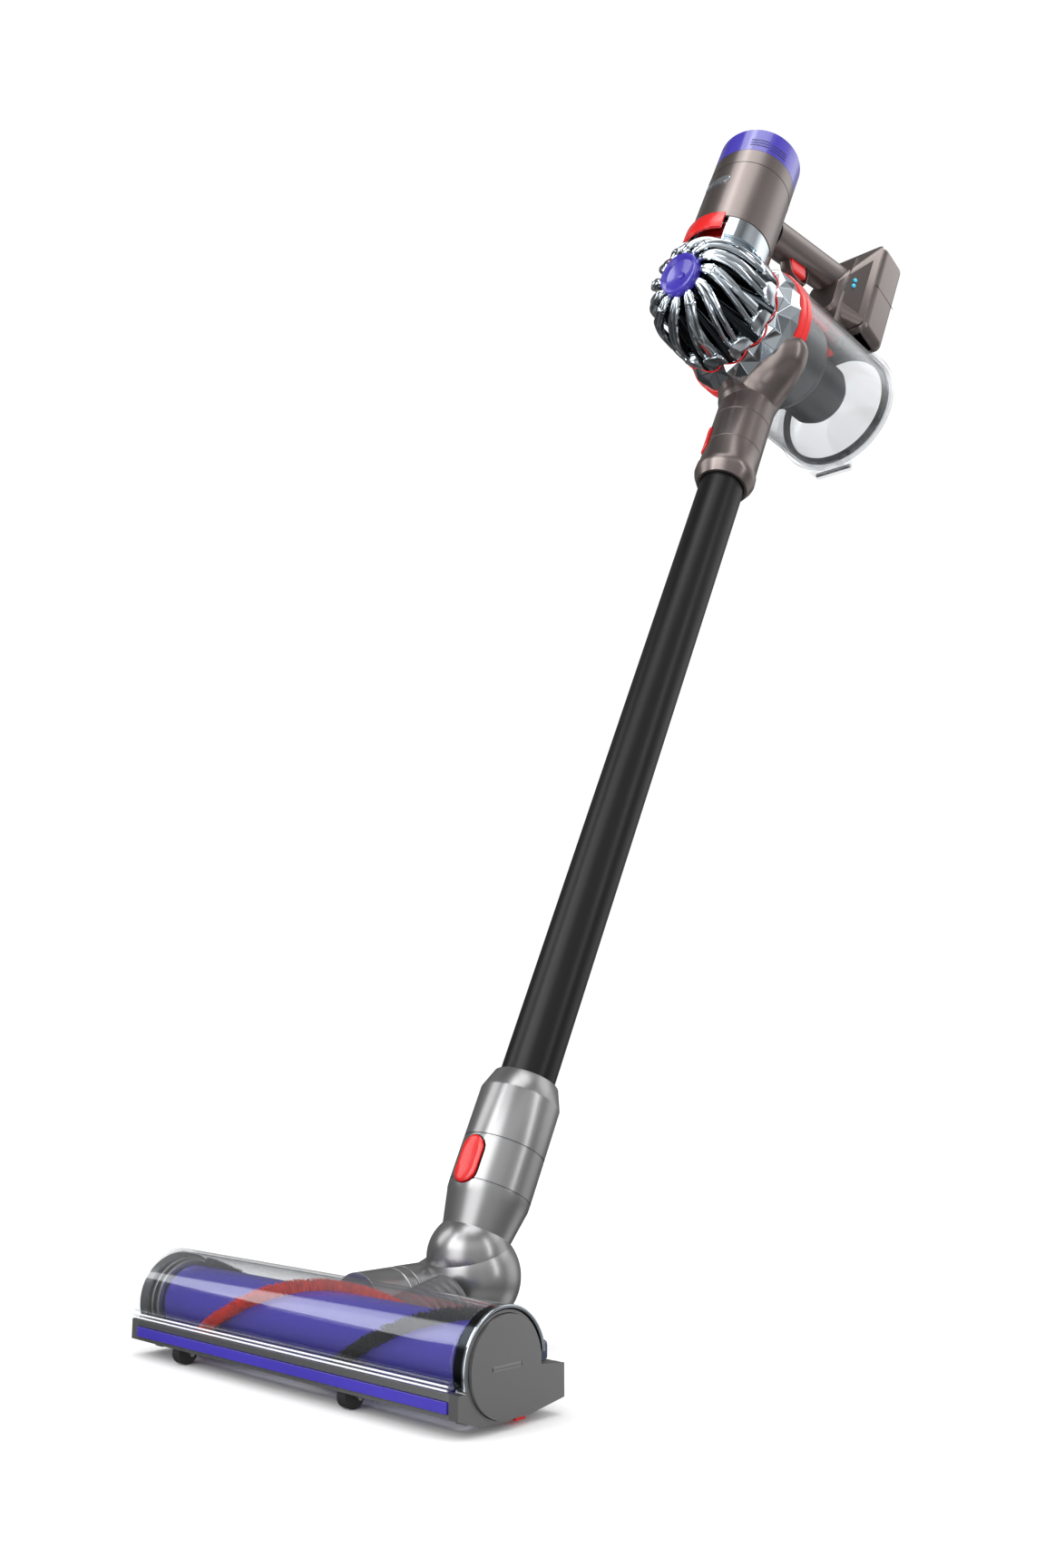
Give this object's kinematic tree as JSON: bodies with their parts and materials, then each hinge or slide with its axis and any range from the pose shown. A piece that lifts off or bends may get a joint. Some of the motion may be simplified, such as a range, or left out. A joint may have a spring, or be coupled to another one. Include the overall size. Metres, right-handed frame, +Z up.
{
  "type": "cordless stick vacuum cleaner",
  "caption": "Upright stick vacuum: powered roller head on a pivoting neck, straight wand, and a hand unit with cyclones, clear bin, round grip and battery.",
  "frame": {"origin": "centre of the bounding box's base, on the floor that the roller head stands on", "axes": "+Z up, +X along the roller towards the end cap, -Y forwards; the wand leans back towards +Y"},
  "size_m": [0.2908, 0.6989, 0.9864],
  "materials": {
    "silver": "satin metallic",
    "bronze": "satin metallic",
    "chrome_plastic": "dark chrome plated plastic",
    "purple": "gloss",
    "red": "gloss",
    "clear": "clear polycarbonate",
    "smoke_blue": "tinted clear",
    "black_tube": "satin black anodised",
    "dark_plastic": "satin",
    "mesh_grey": "satin",
    "motor_metal": "turned",
    "steel": "brushed",
    "rubber": "matt",
    "filter": "pleated",
    "red_bristle": "nylon bristle",
    "black_bristle": "carbon fibre bristle",
    "cell_wrap": "shrink wrap",
    "blue_light": "lit lens",
    "badge_metal": "brushed blank plate"
  },
  "bodies": {
    "hand_unit": {"motor_shroud": "bronze", "airway_neck": "chrome_plastic", "motor_can": "motor_metal", "motor_mount": "dark_plastic", "badge": "badge_metal", "cyclone_cones": "chrome_plastic", "cyclone_core": "chrome_plastic", "cyclone_manifold": "chrome_plastic", "front_disc": "purple", "red_band": "red", "mesh_shroud": "mesh_grey", "inner_cone": "dark_plastic", "bin_cylinder": "clear", "hinge_pin": "steel", "inlet_collar": "bronze", "inlet_duct": "bronze", "handle_grip": "bronze", "battery_dock": "bronze", "battery_case": "bronze", "battery_back": "bronze", "battery_cells": "cell_wrap", "status_lights": "blue_light"},
    "impeller": {"impeller": "motor_metal"},
    "filter_cap": {"filter_cap": "purple", "exhaust_filter": "filter"},
    "eject_lever": {"eject_lever": "red"},
    "eject_rod": {"eject_rod": "red"},
    "bin_lid": {"bin_lid": "clear", "lid_seal": "rubber"},
    "trigger": {"trigger": "red"},
    "inlet_button": {"inlet_button": "red"},
    "battery_catch": {"battery_catch": "dark_plastic"},
    "power_slider": {"power_slider": "bronze"},
    "wand": {"wand_tube": "black_tube", "wand_seals": "rubber"},
    "neck": {"neck_collar": "silver", "neck_ball": "silver"},
    "neck_button": {"neck_button": "red"},
    "elbow": {"elbow_cup": "silver"},
    "head": {"head_base": "silver", "end_plate_left": "silver", "end_plate_right": "silver", "head_cover": "clear", "cover_rim": "chrome_plastic", "bumper_strip": "purple", "wheel_axles": "steel", "roller_motor": "motor_metal", "barrel": "silver", "hose": "rubber", "head_window": "smoke_blue"},
    "roller": {"roller_core": "purple", "bristles_red": "red_bristle", "bristles_black": "black_bristle"},
    "end_cap": {"end_cap": "silver"},
    "sole_latch": {"sole_latch": "red"},
    "wheel_front_left": {"wheel_front_left": "dark_plastic"},
    "wheel_front_right": {"wheel_front_right": "dark_plastic"},
    "wheel_rear_left": {"wheel_rear_left": "dark_plastic"},
    "wheel_rear_right": {"wheel_rear_right": "dark_plastic"}
  },
  "joints": [
    {"name": "impeller_spin", "type": "hinge", "parent": "hand_unit", "child": "impeller", "pos_m": [0, 0.13866, 0.92533], "axis": [0, 0.4432, 0.8964], "continuous": true},
    {"name": "filter_cap_pull", "type": "slide", "parent": "hand_unit", "child": "filter_cap", "axis": [0, 0.4432, 0.8964], "range_m": [0, 0.04]},
    {"name": "eject_lever_slide", "type": "slide", "parent": "hand_unit", "child": "eject_lever", "axis": [0, 0.4432, 0.8964], "range_m": [0, 0.01], "stiffness_N_per_m": 150},
    {"name": "eject_rod_slide", "type": "slide", "parent": "hand_unit", "child": "eject_rod", "axis": [0, 0.9855, -0.17], "range_m": [0, 0.005]},
    {"name": "bin_lid_hinge", "type": "hinge", "parent": "hand_unit", "child": "bin_lid", "pos_m": [0, 0.26725, 0.70884], "axis": [-1, 0, 0], "range_deg": [0, 95]},
    {"name": "trigger_pull", "type": "slide", "parent": "hand_unit", "child": "trigger", "axis": [0, 0.022, 0.9998], "range_m": [0, 0.0035], "stiffness_N_per_m": 400, "springref_m": -0.001},
    {"name": "inlet_button_press", "type": "slide", "parent": "hand_unit", "child": "inlet_button", "axis": [0.6157, 0.7064, -0.3493], "range_m": [0, 0.0013], "stiffness_N_per_m": 500, "springref_m": -0.0005},
    {"name": "battery_catch_slide", "type": "slide", "parent": "hand_unit", "child": "battery_catch", "axis": [0, 0.8964, -0.4432], "range_m": [0, 0.003], "stiffness_N_per_m": 300, "springref_m": -0.001},
    {"name": "power_slider_slide", "type": "slide", "parent": "hand_unit", "child": "power_slider", "axis": [0, 0.9998, -0.022], "range_m": [0, 0.008]},
    {"name": "wand_release", "type": "slide", "parent": "hand_unit", "child": "wand", "axis": [0, -0.4432, -0.8964], "range_m": [0, 0.04]},
    {"name": "head_release", "type": "slide", "parent": "wand", "child": "neck", "axis": [0, -0.4432, -0.8964], "range_m": [0, 0.034]},
    {"name": "neck_button_press", "type": "slide", "parent": "neck", "child": "neck_button", "axis": [0, 0.8964, -0.4432], "range_m": [0, 0.0015], "stiffness_N_per_m": 500, "springref_m": -0.0005},
    {"name": "neck_pitch", "type": "hinge", "parent": "neck", "child": "elbow", "pos_m": [0, -0.2012, 0.0559], "axis": [1, 0, 0], "range_deg": [-22, 50]},
    {"name": "elbow_roll", "type": "hinge", "parent": "elbow", "child": "head", "pos_m": [-0.022, -0.2568, 0.03], "axis": [0, 1, 0], "range_deg": [-25, 25], "deforming": ["hose"]},
    {"name": "roller_spin", "type": "hinge", "parent": "head", "child": "roller", "pos_m": [0, -0.3168, 0.03], "axis": [1, 0, 0], "continuous": true},
    {"name": "end_cap_turn", "type": "hinge", "parent": "head", "child": "end_cap", "pos_m": [0.14, -0.3168, 0.03], "axis": [1, 0, 0], "range_deg": [0, 90]},
    {"name": "sole_latch_slide", "type": "slide", "parent": "head", "child": "sole_latch", "axis": [-1, 0, 0], "range_m": [0, 0.005]},
    {"name": "wheel_front_left_spin", "type": "hinge", "parent": "head", "child": "wheel_front_left", "pos_m": [-0.097, -0.3408, 0.0065], "axis": [1, 0, 0], "continuous": true},
    {"name": "wheel_front_right_spin", "type": "hinge", "parent": "head", "child": "wheel_front_right", "pos_m": [0.055, -0.3408, 0.0065], "axis": [1, 0, 0], "continuous": true},
    {"name": "wheel_rear_left_spin", "type": "hinge", "parent": "head", "child": "wheel_rear_left", "pos_m": [-0.11, -0.2798, 0.0065], "axis": [1, 0, 0], "continuous": true},
    {"name": "wheel_rear_right_spin", "type": "hinge", "parent": "head", "child": "wheel_rear_right", "pos_m": [0.095, -0.2798, 0.0065], "axis": [1, 0, 0], "continuous": true}
  ],
  "couplings": [
    {"joint": "eject_rod_slide", "follows": "eject_lever_slide", "ratio": 0.5}
  ]
}
